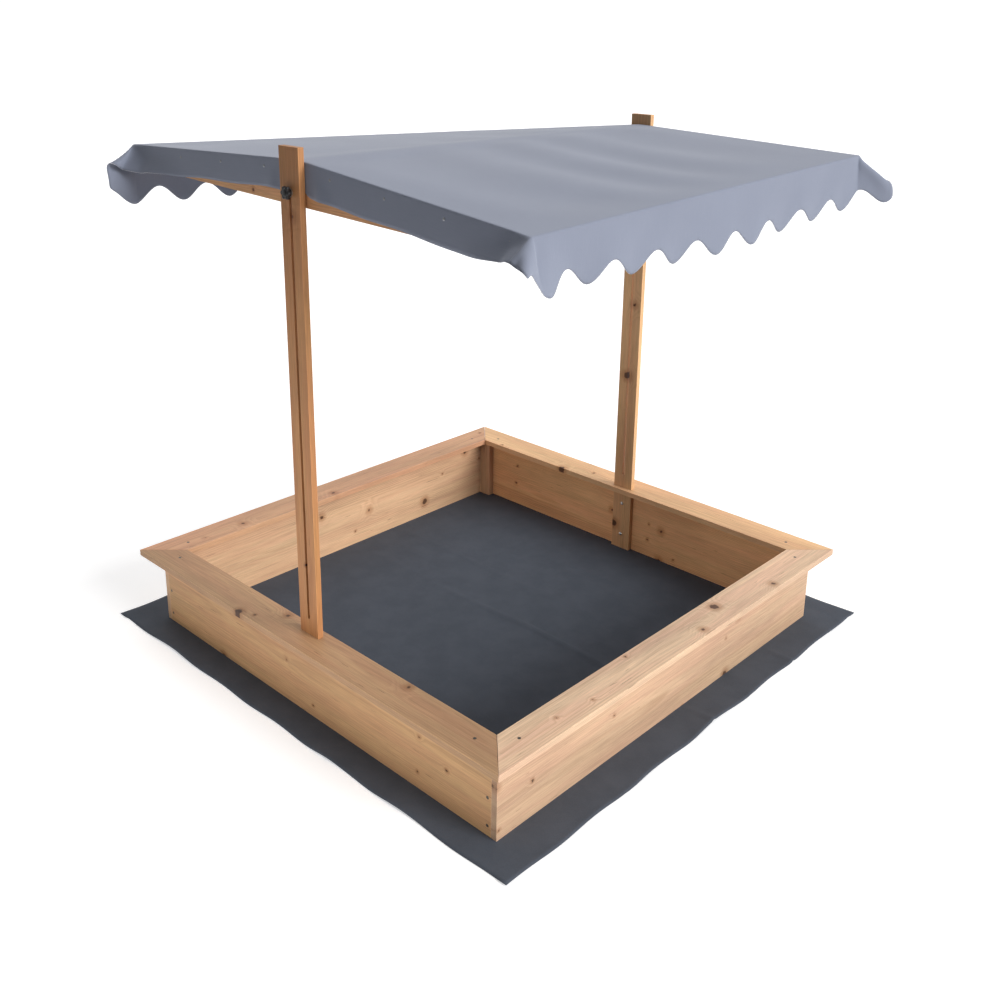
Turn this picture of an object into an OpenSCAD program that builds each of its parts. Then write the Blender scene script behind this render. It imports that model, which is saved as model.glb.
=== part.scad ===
/* [Sandbox] */
// Outer side of the square seat frame
seat_outer = 1200; // [1100:10:1240]
// Width of a seat board
seat_w = 82; // [78:1:100]
// Thickness of a seat board
seat_t = 14; // [12:1:20]
// How far a seat board stands out past the wall under it
overhang = 40; // [25:1:48]
// Height of a wall board
wall_h = 171; // [150:1:220]
// Thickness of a wall board
wall_t = 14; // [12:1:18]
// Length of a corner block along the front or back wall
block_l = 38; // [32:1:50]
// Thickness of a corner block
block_t = 19; // [15:1:25]
// Side of the square ground sheet
sheet_w = 1300; // [1260:10:1500]
// Thickness of the ground sheet
sheet_t = 1; // [0.5:0.1:2]

/* [Posts] */
// Height of a post's top above the ground
post_top = 1200; // [1100:10:1300]
// Width of a post
post_w = 59; // [50:1:70]
// Thickness of a post
post_t = 13; // [11:1:15]
// Width of the slot that the pivot bolt slides in
slot_w = 7; // [6.8:0.1:9]
// Height of the slot's lower end above the seat
slot_rise = 36; // [30:1:60]

/* [Canopy] */
// Height of the canopy's pivot above the ground
pivot_z = 1116; // [1000:1:1120]
// Length of a side rail
rail_l = 1170; // [1120:1:1180]
// Thickness of a side rail
rail_t = 18; // [15:1:20]
// Depth of a rail below the pivot
rail_below = 27; // [20:1:30]
// Height of a rail above the pivot in the middle
ridge_h = 57; // [50:1:70]
// How much lower the top of a rail is at its ends
gable_drop = 42; // [20:1:42]
// How far the front rail leans down to the right, and the back rail to the left (degrees)
canopy_rack = 1.9; // [0:0.1:2]
// Height of an end bar and of the ridge bar
bar_h = 38; // [32:1:40]
// Thickness of an end bar and of the ridge bar
bar_t = 18; // [15:1:20]

/* [Fabric] */
// Thickness of the fabric
fabric_t = 1.5; // [1:0.1:1.8]
// Depth of the flap that covers a rail
flap_h = 62; // [55:1:66]
// Drop of the scalloped end down to the tips
tip_drop = 120; // [90:1:125]
// Drop of the scalloped end down to the hollows between the tips
valley_drop = 80; // [60:1:85]
// Distance from one scallop to the next
scallop_pitch = 123.4; // [100:0.1:130]

/* [Fasteners] */
// Diameter of the pivot bolt
bolt_d = 6; // [5:0.5:6]
// Diameter of a star knob over its lobes
knob_d = 27; // [24:1:36]
// Height of a star knob
knob_h = 12; // [12:1:20]

/* [Hidden] */
$fn = 48;

wood = "burlywood";
light_wood = "wheat";
cloth = "slategray";
steel = "silver";

// The box, from the ground up
wall_out = seat_outer / 2 - overhang;
wall_in = wall_out - wall_t;
wall_z = sheet_t;
seat_z = wall_z + wall_h;
seat_top = seat_z + seat_t;
seat_in = seat_outer / 2 - seat_w;
mitre_gap = 0.7;

// The posts stand against the insides of the front and back walls
post_out = wall_in;
post_in = post_out - post_t;
post_gap = 0.5;
slot_bottom = seat_top + slot_rise;
slot_top = pivot_z + slot_w / 2;

// The canopy hangs between the posts, and a washer sits in the gap on each side
side_gap = 3;
play = 0.3;
rail_out = post_in - side_gap;
rail_in = rail_out - rail_t;
end_top = ridge_h - gable_drop;
end_x = rail_l / 2;
fabric_gap = 0.4; // between the wood and the fabric over it
bar_gap = 1.4; // between a bar and the straight line from rail to rail
end_gap = 1.2;
fabric_x = end_x + end_gap;
fabric_y = rail_out + fabric_t;
top_rows = 8;
flap_tuck = 0.6;
notch_r = 12;
scallop_steps = 12;
first_valley_left = -477;
first_valley_right = -450;

// Fasteners
screw_head_d = 7;
screw_head_h = 2.6;
screw_d = 4;
screw_l = 32;
front_screw_l = 30;
frame_screw_l = rail_t + 22;
frame_screw_steps = [10, 28];
front_screw_z = [23, 84, 145];
wall_screw_at = wall_in - block_t / 2;
seat_screw_at = 496;
post_screw_z = [44, 137];
post_screw_head_d = 10;
post_screw_head_h = 3.5;
post_screw_l = post_t + wall_t - 4;
tack_first = 100;
tack_pitch = 148;
tack_drop = 15;
tack_head_d = 6;
tack_head_h = 0.8;
tack_d = 2;
tack_l = 10;
bolt_head_d = 15;
bolt_head_h = 3.5;
washer_d = 18;
washer_t = side_gap - 2 * play;
outer_washer_t = 1.6;
washer_play = 0.4;
insert_d = 10;
insert_l = 9;
insert_play = 0.2;
knob_base = post_out + outer_washer_t + 2 * play;
bolt_end = knob_base + insert_l - 1;
lobes = 6;
lobe_r = knob_d * 0.14;
knob_web_d = knob_d * 0.76;
knob_hub_d = knob_d * 0.6;
hub_below = 3;
hub_above = 1;

// ---- Places that repeat ----

// A copy at the front and a copy at the back, turned about Z
module front_and_back() {
    children();
    rotate([0, 0, 180]) children();
}

// ---- Fasteners ----

// A countersunk screw that points down, with its head flush at the origin
module screw(length = screw_l) {
    rotate([180, 0, 0]) {
        cylinder(d1 = screw_head_d, d2 = screw_d, h = screw_head_h);
        cylinder(d = screw_d, h = length);
    }
}

// The screws that hold the front and back walls to the corner blocks
module front_wall_screws() {
    for (sx = [-1, 1], z = front_screw_z)
        translate([sx * wall_screw_at, -wall_out, z]) rotate([90, 0, 0])
            screw(front_screw_l);
}

// The two screws that hold the front seat board down on the front wall
module front_seat_screws() {
    for (sx = [-1, 1])
        translate([sx * seat_screw_at, wall_t / 2 - wall_out, seat_top]) screw();
}

// The two round-headed screws that hold the front post to the front wall
module front_post_screws() {
    for (z = post_screw_z)
        translate([0, -post_in, z]) rotate([90, 0, 0]) {
            cylinder(d = screw_d, h = post_screw_l);
            rotate([180, 0, 0]) dome(post_screw_head_d, post_screw_head_h);
        }
}

// A low dome that stands on the XY plane
module dome(d, h) {
    radius = (d * d / 4 + h * h) / (2 * h);
    rotate_extrude() intersection() {
        translate([0, h - radius]) circle(radius);
        square([d, h]);
    }
}

module wall_screws() {
    color(steel) front_and_back() front_wall_screws();
}

module seat_screws() {
    color(steel) for (a = [0 : 90 : 270]) rotate([0, 0, a]) front_seat_screws();
}

module post_screws() {
    color(steel) front_and_back() front_post_screws();
}

// ---- Sandbox ----

module ground_sheet() {
    color("darkslategray") translate([-sheet_w / 2, -sheet_w / 2, 0]) cube([sheet_w, sheet_w, sheet_t]);
}

// A wall board between the ends of the left and right walls
module front_wall() {
    color(wood) difference() {
        translate([-wall_in, -wall_out, wall_z]) cube([2 * wall_in, wall_t, wall_h]);
        front_wall_screws();
        front_seat_screws();
        front_post_screws();
    }
}

module back_wall() {
    rotate([0, 0, 180]) front_wall();
}

// A wall board over the whole side, so that it covers the ends of the other two
module right_wall() {
    color(wood) difference() {
        translate([wall_in, -wall_out, wall_z]) cube([wall_t, 2 * wall_out, wall_h]);
        rotate([0, 0, 90]) front_seat_screws();
    }
}

module left_wall() {
    rotate([0, 0, 180]) right_wall();
}

// An upright block in the corner that sx and sy name
module corner_block(sx, sy) {
    color(wood) difference() {
        translate([sx > 0 ? wall_in - block_l : -wall_in, sy > 0 ? wall_in - block_t : -wall_in, wall_z])
            cube([block_l, block_t, wall_h]);
        front_and_back() front_wall_screws();
    }
}

module front_left_block() { corner_block(-1, -1); }
module front_right_block() { corner_block(1, -1); }
module back_left_block() { corner_block(-1, 1); }
module back_right_block() { corner_block(1, 1); }

// A mitred seat board, drawn as the front one
module seat_board() {
    outer = seat_outer / 2;
    outer_half = outer - mitre_gap;
    inner_half = seat_in - mitre_gap;
    translate([0, 0, seat_z]) linear_extrude(seat_t)
        polygon([[-outer_half, -outer], [outer_half, -outer], [inner_half, -seat_in], [-inner_half, -seat_in]]);
}

// The front board also has a hole that its post comes up through
module front_seat() {
    color(light_wood) difference() {
        seat_board();
        translate([-post_w / 2 - post_gap, -post_out, seat_z - 1])
            cube([post_w + 2 * post_gap, post_t + post_gap, seat_t + 2]);
        front_seat_screws();
    }
}

module back_seat() {
    rotate([0, 0, 180]) front_seat();
}

module right_seat() {
    color(light_wood) rotate([0, 0, 90]) difference() {
        seat_board();
        front_seat_screws();
    }
}

module left_seat() {
    rotate([0, 0, 180]) right_seat();
}

// A post with the long slot that its pivot bolt slides in
module front_post() {
    color(wood) difference() {
        translate([-post_w / 2, -post_out, wall_z]) cube([post_w, post_t, post_top - wall_z]);
        translate([0, -post_in + 1, 0]) rotate([90, 0, 0]) linear_extrude(post_t + 2) {
            for (z = [slot_bottom + slot_w / 2, pivot_z]) translate([0, z]) circle(d = slot_w);
            translate([-slot_w / 2, slot_bottom + slot_w / 2])
                square([slot_w, pivot_z - slot_bottom - slot_w / 2]);
        }
        front_post_screws();
    }
}

module back_post() {
    rotate([0, 0, 180]) front_post();
}

// ---- Canopy frame, drawn about the pivot ----

// Where a point [x, z] of the front rail's own plane comes to when the rail leans
function lean(x, z) =
    [x * cos(canopy_rack) + z * sin(canopy_rack), z * cos(canopy_rack) - x * sin(canopy_rack)];

// The top of the front rail at its left end, its ridge and its right end
rail_peak = lean(0, ridge_h);
rail_left = lean(-end_x, end_top);
rail_right = lean(end_x, end_top);

// Height of the front rail's top edge at x, above the pivot
function front_top(x) =
    let (tip = x < rail_peak[0] ? rail_left : rail_right)
    rail_peak[1] + (x - rail_peak[0]) * (tip[1] - rail_peak[1]) / (tip[0] - rail_peak[0]);

// Height of the canopy's top at x, y: straight from the front rail to the back one
function top_at(x, y) =
    let (k = (y + rail_out) / (2 * rail_out))
    (1 - k) * front_top(x) + k * front_top(-x);

module at_pivot() {
    translate([0, 0, pivot_z]) children();
}

// The outline of a rail or a flap: a low gable over a gable or a straight edge
module gable(half, ridge, drop, base_mid, base_end) {
    polygon([[-half, base_end], [0, base_mid], [half, base_end],
             [half, ridge - drop], [0, ridge], [-half, ridge - drop]]);
}

// An upright plate that leans with the front rail, from y = inner to y = outer
module leaning_plate(inner, outer) {
    rotate([0, canopy_rack, 0]) translate([0, -inner, 0]) rotate([90, 0, 0])
        linear_extrude(outer - inner) children();
}

// The screws through the front rail into the ends of the three bars
module front_frame_screws() {
    for (x = [-end_x + bar_t / 2, 0, end_x - bar_t / 2], step = frame_screw_steps)
        translate([x, -rail_out, top_at(x, -rail_out) - step]) rotate([90, 0, 0])
            screw(frame_screw_l);
}

// The tacks that hold the flap to the front rail, below its top edge
module front_tacks() {
    slope = gable_drop / end_x;
    rotate([0, canopy_rack, 0]) for (side = [-1, 1], k = [0 : 3]) {
        x = tack_first + k * tack_pitch;
        translate([side * x, -fabric_y, ridge_h - slope * x - tack_drop]) rotate([90, 0, 0]) {
            dome(tack_head_d, tack_head_h);
            rotate([180, 0, 0]) cylinder(d = tack_d, h = tack_l);
        }
    }
}

module front_bolt() {
    translate([0, -rail_in, 0]) rotate([90, 0, 0]) {
        cylinder(d = bolt_d, h = bolt_end - rail_in);
        rotate([180, 0, 0]) dome(bolt_head_d, bolt_head_h);
    }
}

module front_rail() {
    color(wood) at_pivot() difference() {
        leaning_plate(rail_in, rail_out) gable(end_x, ridge_h, gable_drop, -rail_below, -rail_below);
        front_frame_screws();
        front_tacks();
        front_bolt();
    }
}

module back_rail() {
    rotate([0, 0, 180]) front_rail();
}

// A bar between the rails whose top, taken at its low_x side, runs from one rail's top to the other's
module cross_bar(x, low_x) {
    front_z = top_at(low_x, -rail_out) - bar_gap;
    back_z = top_at(low_x, rail_out) - bar_gap;
    color(wood) at_pivot() difference() {
        translate([x - bar_t / 2, 0, 0]) rotate([90, 0, 90]) linear_extrude(bar_t)
            polygon([[-rail_in, front_z - bar_h], [rail_in, back_z - bar_h],
                     [rail_in, back_z], [-rail_in, front_z]]);
        front_and_back() front_frame_screws();
    }
}

module left_end_bar() { cross_bar(-end_x + bar_t / 2, -end_x); }
module right_end_bar() { cross_bar(end_x - bar_t / 2, end_x); }
module ridge_bar() { cross_bar(0, bar_t / 2); }

module frame_screws() {
    color(steel) at_pivot() front_and_back() front_frame_screws();
}

// ---- Fabric ----

// One row across the canopy at y, for a surface that lies lift above the rails
function top_row(y, lift) =
    let (k = (y + rail_out) / (2 * rail_out), peak_x = (1 - 2 * k) * rail_peak[0])
    [for (x = [-fabric_x, peak_x, fabric_x]) [x, y, top_at(x, y) + lift]];

// The sheet over the rails: rows from front to back, twisted with the two rails
module top_sheet() {
    rows = [for (i = [0 : top_rows]) -rail_out + 2 * rail_out * i / top_rows];
    under = [for (y = rows) each top_row(y, fabric_gap)];
    over = [for (y = rows) each top_row(y, fabric_gap + fabric_t)];
    n = len(under);
    last = n - 3;
    polyhedron(
        points = concat(under, over),
        faces = concat(
            [for (i = [0 : top_rows - 1], j = [0, 1]) let (a = 3 * i + j) each
                [[a, a + 1, a + 4], [a, a + 4, a + 3],
                 [n + a, n + a + 4, n + a + 1], [n + a, n + a + 3, n + a + 4]]],
            [for (j = [0, 1]) each
                [[j, n + j, n + j + 1], [j, n + j + 1, j + 1],
                 [last + j, last + j + 1, n + last + j + 1], [last + j, n + last + j + 1, n + last + j]]],
            [for (i = [0 : top_rows - 1]) let (a = 3 * i, b = 3 * i + 2) each
                [[a, a + 3, n + a + 3], [a, n + a + 3, n + a],
                 [b, n + b + 3, b + 3], [b, n + b, n + b + 3]]]
        )
    );
}

// The flap down the outside of the front rail, cut away round the pivot
module front_flap() {
    ridge = ridge_h + flap_tuck;
    leaning_plate(rail_out, fabric_y) difference() {
        gable(fabric_x, ridge, gable_drop, ridge_h - flap_h, end_top - flap_h);
        circle(notch_r);
    }
}

// Height of the scalloped edge at y, on the end at x
function scallop(x, y) =
    let (mid = (tip_drop + valley_drop) / 2, swing = (tip_drop - valley_drop) / 2,
         first = x < 0 ? first_valley_left : first_valley_right,
         edge = top_at(x, max(-rail_out, min(rail_out, y))))
    edge - mid + swing * cos(360 * (y - first) / scallop_pitch);

// The scalloped end that hangs past the end bar on the right, or on the left when side is -1
module end_valance(side) {
    steps = ceil(2 * fabric_y / scallop_pitch * scallop_steps);
    edge = [for (i = [0 : steps]) -fabric_y + 2 * fabric_y * i / steps];
    x = side * fabric_x;
    translate([side > 0 ? fabric_x : -fabric_x - fabric_t, 0, 0]) rotate([90, 0, 90]) linear_extrude(fabric_t)
        polygon(concat([for (y = edge) [y, scallop(x, y)]],
                       [[fabric_y, top_at(x, rail_out) + fabric_gap + fabric_t],
                        [-fabric_y, top_at(x, -rail_out) + fabric_gap + fabric_t]]));
}

module canopy_fabric() {
    color(cloth) at_pivot() difference() {
        union() {
            top_sheet();
            front_and_back() front_flap();
            for (side = [-1, 1]) end_valance(side);
        }
        front_and_back() front_tacks();
    }
}

module fabric_tacks() {
    color(steel) at_pivot() front_and_back() front_tacks();
}

// ---- Pivots and knobs ----

module front_pivot_bolt() {
    color(steel) at_pivot() front_bolt();
}

module back_pivot_bolt() {
    rotate([0, 0, 180]) front_pivot_bolt();
}

module washer(outer, thickness) {
    rotate([90, 0, 0]) difference() {
        cylinder(d = outer, h = thickness);
        translate([0, 0, -1]) cylinder(d = bolt_d + washer_play, h = thickness + 2);
    }
}

// One washer between the rail and the post, and one between the post and the knob
module front_washers() {
    color(steel) at_pivot() {
        translate([0, -rail_out - play, 0]) washer(washer_d, washer_t);
        translate([0, -post_out - play, 0]) washer(washer_d, outer_washer_t);
    }
}

module back_washers() {
    rotate([0, 0, 180]) front_washers();
}

// A star knob whose lobes stand round a raised hub
module front_knob() {
    color("black") at_pivot() translate([0, -knob_base, 0]) rotate([90, 0, 0]) difference() {
        union() {
            cylinder(d = knob_hub_d, h = knob_h);
            translate([0, 0, hub_below]) linear_extrude(knob_h - hub_below - hub_above) {
                circle(d = knob_web_d);
                for (i = [0 : lobes - 1]) rotate(i * 360 / lobes)
                    translate([knob_d / 2 - lobe_r, 0]) circle(lobe_r);
            }
        }
        translate([0, 0, -1]) cylinder(d = insert_d, h = insert_l + 1);
    }
}

module back_knob() {
    rotate([0, 0, 180]) front_knob();
}

module front_knob_insert() {
    color("goldenrod") at_pivot() translate([0, -knob_base, 0]) rotate([90, 0, 0]) difference() {
        cylinder(d = insert_d, h = insert_l);
        translate([0, 0, -1]) cylinder(d = bolt_d + insert_play, h = insert_l + 2);
    }
}

module back_knob_insert() {
    rotate([0, 0, 180]) front_knob_insert();
}

ground_sheet();
front_wall();
back_wall();
left_wall();
right_wall();
front_left_block();
front_right_block();
back_left_block();
back_right_block();
front_seat();
back_seat();
left_seat();
right_seat();
front_post();
back_post();
wall_screws();
seat_screws();
post_screws();
front_rail();
back_rail();
left_end_bar();
right_end_bar();
ridge_bar();
frame_screws();
canopy_fabric();
fabric_tacks();
front_pivot_bolt();
back_pivot_bolt();
front_washers();
back_washers();
front_knob();
back_knob();
front_knob_insert();
back_knob_insert();
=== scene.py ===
import math

import bpy
import numpy as np
from mathutils import Matrix, Vector


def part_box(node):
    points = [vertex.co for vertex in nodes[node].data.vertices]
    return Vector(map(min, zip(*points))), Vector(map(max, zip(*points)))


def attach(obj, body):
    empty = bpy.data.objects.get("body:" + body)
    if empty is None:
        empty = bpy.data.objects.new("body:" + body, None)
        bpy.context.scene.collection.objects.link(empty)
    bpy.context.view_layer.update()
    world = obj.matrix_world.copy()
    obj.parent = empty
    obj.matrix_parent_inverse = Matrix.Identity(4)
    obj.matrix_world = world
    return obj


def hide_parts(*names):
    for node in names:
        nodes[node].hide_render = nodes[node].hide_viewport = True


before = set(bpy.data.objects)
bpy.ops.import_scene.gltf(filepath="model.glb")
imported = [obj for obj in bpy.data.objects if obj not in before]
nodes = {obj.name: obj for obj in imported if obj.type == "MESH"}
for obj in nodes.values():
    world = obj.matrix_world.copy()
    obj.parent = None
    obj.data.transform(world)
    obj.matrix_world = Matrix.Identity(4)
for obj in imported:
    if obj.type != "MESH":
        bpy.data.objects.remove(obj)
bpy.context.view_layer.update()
scene = bpy.context.scene

# The camera's place is in metres, its angles are in degrees and its lens is in millimetres
view = {
    "place": (1.6943, -1.7752, 1.4375),
    "azimuth": 43.356,
    "elevation": 17.738,
    "roll": 0.730,
    "lens": 39.994,
    "sensor": 36,
    "shift": (0.0028, -0.1319),
}

az, el, roll = (math.radians(view[key]) for key in ("azimuth", "elevation", "roll"))
backward = Vector((math.sin(az) * math.cos(el), -math.cos(az) * math.cos(el), math.sin(el)))
sideways = Vector((math.cos(az), math.sin(az), 0))
upright = backward.cross(sideways)
right = sideways * math.cos(roll) + upright * math.sin(roll)
up = upright * math.cos(roll) - sideways * math.sin(roll)
turned = Matrix((right, up, backward)).transposed().to_4x4()
camera = bpy.data.objects.new("camera", bpy.data.cameras.new("camera"))
camera.matrix_world = Matrix.Translation(view["place"]) @ turned
camera.data.sensor_width = view["sensor"]
camera.data.lens = view["lens"]
camera.data.shift_x, camera.data.shift_y = view["shift"]
scene.collection.objects.link(camera)
scene.camera = camera
scene.view_settings.view_transform = "Standard"
print("camera placed")


def meshObject(name, points, faces):
    mesh = bpy.data.meshes.new(name)
    mesh.from_pydata(np.asarray(points, float).reshape(-1, 3).tolist(), [], faces)
    mesh.shade_smooth()
    mesh.update()
    obj = bpy.data.objects.new(name, mesh)
    scene.collection.objects.link(obj)
    return obj


# A grid surface from an array of points [row, column, xyz]: each cell is one four-sided face, and
# flat gives the same grid's UV in metres
def gridObject(name, points, flat, flip=False):
    rows, cols = points.shape[:2]
    i, j = np.meshgrid(np.arange(rows - 1), np.arange(cols - 1), indexing="ij")
    first = (i * cols + j).ravel()
    quads = np.stack([first, first + 1, first + cols + 1, first + cols], 1)
    obj = meshObject(name, points, (quads[:, ::-1] if flip else quads).tolist())
    layer = obj.data.uv_layers.new(name="flat")
    corner = np.zeros(len(obj.data.loops), np.int32)
    obj.data.loops.foreach_get("vertex_index", corner)
    layer.data.foreach_set("uv", flat.reshape(-1, 2)[corner].astype(np.float32).ravel())
    return obj


def newMaterial(name):
    material = bpy.data.materials.new(name)
    material.use_nodes = True
    tree = material.node_tree
    return material, tree, tree.nodes["Principled BSDF"]


# A node with its settings and its inputs, each of them a value or another node's output
def add(tree, kind, settings, inputs):
    node = tree.nodes.new(kind)
    for key, value in settings.items():
        setattr(node, key, value)
    for key, value in inputs.items():
        if isinstance(value, bpy.types.NodeSocket):
            tree.links.new(value, node.inputs[key])
        else:
            node.inputs[key].default_value = value
    return node


def calc(tree, operation, *values):
    return add(tree, "ShaderNodeMath", {"operation": operation}, dict(enumerate(values))).outputs[0]


def chain(tree, operation, values):
    result = values[0]
    for value in values[1:]:
        result = calc(tree, operation, result, value)
    return result


def plus(tree, *values):
    return chain(tree, "ADD", values)


def times(tree, *values):
    return chain(tree, "MULTIPLY", values)


def minus(tree, value, taken):
    return calc(tree, "SUBTRACT", value, taken)


def vectorCalc(tree, operation, *values):
    return add(tree, "ShaderNodeVectorMath", {"operation": operation}, dict(enumerate(values))).outputs[0]


def scaled(tree, vector, factors):
    return vectorCalc(tree, "MULTIPLY", vector, factors)


def texturePlaces(tree):
    return add(tree, "ShaderNodeTexCoord", {}, {}).outputs


def splitAxes(tree, vector):
    return add(tree, "ShaderNodeSeparateXYZ", {}, {0: vector}).outputs


# A smooth step from outLow to outHigh as the value goes from low to high
def ramp(tree, value, low, high, outLow, outHigh):
    inputs = {"Value": value, "From Min": low, "From Max": high, "To Min": outLow, "To Max": outHigh}
    return add(tree, "ShaderNodeMapRange", {"interpolation_type": "SMOOTHSTEP"}, inputs).outputs["Result"]


def noise(tree, vector, scale, detail=2.0, roughness=0.5):
    inputs = {"Vector": vector, "Scale": scale, "Detail": detail, "Roughness": roughness}
    return add(tree, "ShaderNodeTexNoise", {}, inputs).outputs


def mixColour(tree, share, a, b):
    return add(tree, "ShaderNodeMix", {"data_type": "RGBA"}, {0: share, 6: a, 7: b}).outputs[2]


def colour(values):
    return (*values, 1.0)


def bump(tree, shader, height, strength, distance):
    node = add(tree, "ShaderNodeBump", {}, {"Height": height, "Strength": strength, "Distance": distance})
    tree.links.new(node.outputs[0], shader.inputs["Normal"])


def dress(obj, material):
    obj.data.materials.clear()
    obj.data.materials.append(material)


# Floor, world and lights. The floor reaches from its first corner to its last, the sun's place is
# an azimuth and an elevation, and the world is bright behind the object and dim in front of it
studio = {
    "floor": 0.82,
    "floorGlow": 0.42,
    "floorReach": (-60, -2.3, 3.2, 60),
    "floorDrop": 0.0005,
    "worldBright": 1.06,
    "worldDim": 0.10,
    "brightWay": (-0.55, 0.75, 0.25),
    "brightBand": (-0.15, 0.45),
    "sunFrom": (11, 24),
    "sunAngle": 32,
    "sunPower": 3.4,
    "fillPlace": (-0.2, -2.8, 0.6),
    "fillTarget": (0.15, 0.2, -0.14),
    "fillSize": 0.8,
    "fillSpread": 52,
    "fillPower": 1.9,
}

x0, y0, x1, y1 = studio["floorReach"]
floor = meshObject("floor", [(x0, y0, 0), (x1, y0, 0), (x1, y1, 0), (x0, y1, 0)], [(0, 1, 2, 3)])
floorLook, _, shader = newMaterial("pale_floor")
shader.inputs["Base Color"].default_value = colour((studio["floor"],) * 3)
shader.inputs["Roughness"].default_value = 0.9
shader.inputs["Specular IOR Level"].default_value = 0.1
shader.inputs["Emission Color"].default_value = (1, 1, 1, 1)
shader.inputs["Emission Strength"].default_value = studio["floorGlow"]
floor.data.materials.append(floorLook)
floor.location.z = -studio["floorDrop"]

world = bpy.data.worlds.new("studio")
world.use_nodes = True
scene.world = world
tree = world.node_tree
skyInputs = {0: texturePlaces(tree)["Generated"], 1: studio["brightWay"]}
behind = add(tree, "ShaderNodeVectorMath", {"operation": "DOT_PRODUCT"}, skyInputs).outputs["Value"]
skyLight = ramp(tree, behind, *studio["brightBand"], studio["worldDim"], studio["worldBright"])
tree.links.new(skyLight, tree.nodes["Background"].inputs["Strength"])
tree.nodes["Background"].inputs["Color"].default_value = (1, 1, 1, 1)

sun = bpy.data.objects.new("sun", bpy.data.lights.new("sun", "SUN"))
turn, height = (math.radians(angle) for angle in studio["sunFrom"])
sunWay = Vector((math.cos(turn) * math.cos(height), math.sin(turn) * math.cos(height), math.sin(height)))
sun.rotation_euler = (-sunWay).to_track_quat("-Z", "Y").to_euler()
sun.data.angle = math.radians(studio["sunAngle"])
sun.data.energy = studio["sunPower"]
scene.collection.objects.link(sun)
fill = bpy.data.objects.new("fill", bpy.data.lights.new("fill", "AREA"))
fill.data.size = studio["fillSize"]
fill.data.energy = studio["fillPower"]
fill.data.spread = math.radians(studio["fillSpread"])
fill.location = studio["fillPlace"]
fill.rotation_euler = (Vector(studio["fillTarget"]) - fill.location).to_track_quat("-Z", "Y").to_euler()
scene.collection.objects.link(fill)
print("studio lit")

# Wood. grain is the axis that the fibres run along and wide the board's other broad axis. pith is
# how far the tree's centre lies from the board's middle (wide, thin). The tone is how light the board is
# and the tint how red, green and blue. Both are partly the board's own colour and partly painted light
# and shade: lighter and paler on lit boards, darker and warmer on shaded ones. side darkens the narrow
# sides beside the broad faces as painted shade
boards = {
    "front_wall": {"grain": "X", "wide": "Z", "pith": (0.02, 0.075), "seed": 1.3, "toneAndPaintedLight": 0.80,
                   "tint": (1, 0.92, 0.75)},
    "back_wall": {"grain": "X", "wide": "Z", "pith": (-0.03, -0.06), "seed": 2.7, "toneAndPaintedLight": 1.28,
                  "tint": (1, 0.88, 0.72)},
    "left_wall": {"grain": "Y", "wide": "Z", "pith": (0.01, 0.07), "seed": 3.1, "toneAndPaintedLight": 0.88},
    "right_wall": {"grain": "Y", "wide": "Z", "pith": (-0.025, -0.08), "seed": 4.9, "toneAndPaintedLight": 0.78,
                   "tint": (1, 1.04, 1.12)},
    "front_left_block": {"grain": "Z", "wide": "X", "pith": (0.03, 0.05), "seed": 5.2, "toneAndPaintedLight": 0.95},
    "front_right_block": {"grain": "Z", "wide": "X", "pith": (0.02, 0.04), "seed": 6.4, "toneAndPaintedLight": 0.95},
    "back_left_block": {"grain": "Z", "wide": "X", "pith": (0.04, 0.03), "seed": 7.5, "toneAndPaintedLight": 0.95},
    "back_right_block": {"grain": "Z", "wide": "X", "pith": (0.03, 0.06), "seed": 8.6, "toneAndPaintedLight": 0.95},
    "front_seat": {"grain": "X", "wide": "Y", "pith": (0.01, -0.05), "seed": 9.7, "toneAndPaintedLight": 0.67,
                   "tint": (1, 0.92, 0.8)},
    "back_seat": {"grain": "X", "wide": "Y", "pith": (-0.03, -0.06), "seed": 10.3, "toneAndPaintedLight": 1.1,
                  "tint": (1, 0.96, 0.84)},
    "left_seat": {"grain": "Y", "wide": "X", "pith": (0.02, -0.07), "seed": 11.9, "toneAndPaintedLight": 0.86,
                  "tint": (1, 0.88, 0.84)},
    "right_seat": {"grain": "Y", "wide": "X", "pith": (-0.015, -0.055), "seed": 12.2, "toneAndPaintedLight": 1.16,
                   "tint": (1, 1.08, 1.2), "side": 0.72},
    "front_post": {"grain": "Z", "wide": "X", "pith": (0.012, 0.06), "seed": 13.8, "toneAndPaintedLight": 0.70,
                   "tint": (1, 0.74, 0.48)},
    "back_post": {"grain": "Z", "wide": "X", "pith": (0.02, -0.05), "seed": 14.4, "toneAndPaintedLight": 0.98,
                  "tint": (1, 0.92, 0.76)},
    "front_rail": {"grain": "X", "wide": "Z", "pith": (0.03, 0.06), "seed": 15.6, "toneAndPaintedLight": 1.0,
                   "tint": (1.0, 0.84, 0.66)},
    "back_rail": {"grain": "X", "wide": "Z", "pith": (0.03, -0.06), "seed": 16.1, "toneAndPaintedLight": 0.94},
    "left_end_bar": {"grain": "Y", "wide": "Z", "pith": (0.03, 0.05), "seed": 17.2, "toneAndPaintedLight": 0.96},
    "right_end_bar": {"grain": "Y", "wide": "Z", "pith": (0.02, 0.05), "seed": 18.5, "toneAndPaintedLight": 0.96},
    "ridge_bar": {"grain": "Y", "wide": "Z", "pith": (0.02, 0.06), "seed": 19.3, "toneAndPaintedLight": 0.96},
}

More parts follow.
